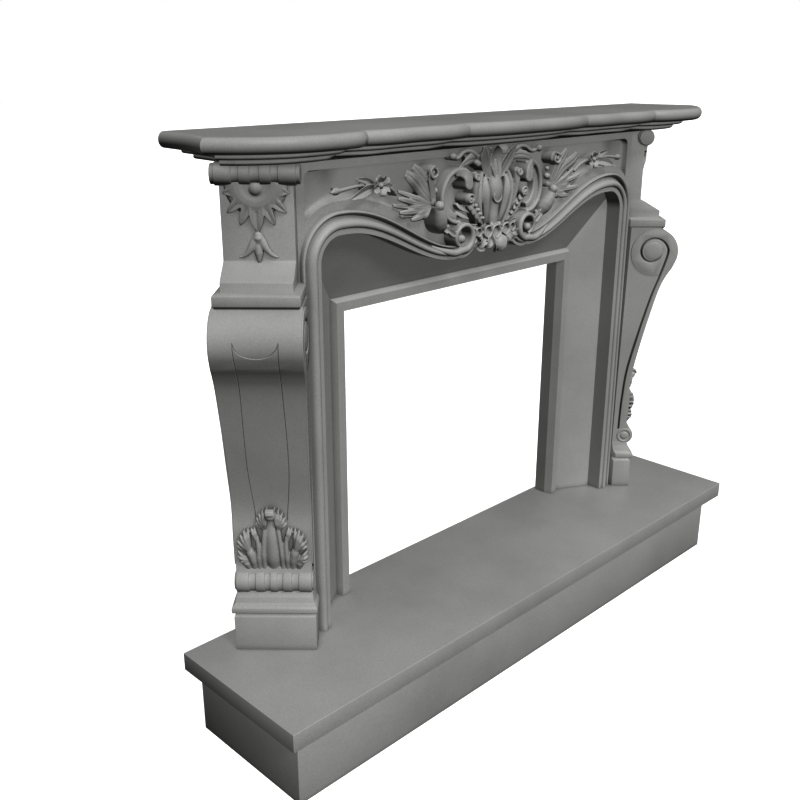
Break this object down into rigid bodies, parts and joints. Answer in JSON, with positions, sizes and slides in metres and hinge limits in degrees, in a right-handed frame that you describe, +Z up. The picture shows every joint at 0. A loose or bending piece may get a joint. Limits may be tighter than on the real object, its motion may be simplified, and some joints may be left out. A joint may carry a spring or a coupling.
{
  "type": "fireplace surround",
  "caption": "Carved stone fireplace surround with canted console jambs, a serpentine arch, a moulded shelf and a raised hearth.",
  "frame": {"origin": "centre of the hearth's underside", "axes": "+X to the right seen from the room, +Y back to the wall, +Z up; the opening faces -Y"},
  "size_m": [1.7, 0.3924, 1.342],
  "materials": {
    "stone": "honed grey limestone"
  },
  "bodies": {
    "root": {"hearth_base": "stone", "hearth_slab": "stone", "left_jamb": "stone", "right_jamb": "stone", "surround": "stone", "mantel_shelf": "stone", "left_slip": "stone", "right_slip": "stone", "head_slip": "stone", "firebox_frame": "stone"}
  },
  "joints": []
}
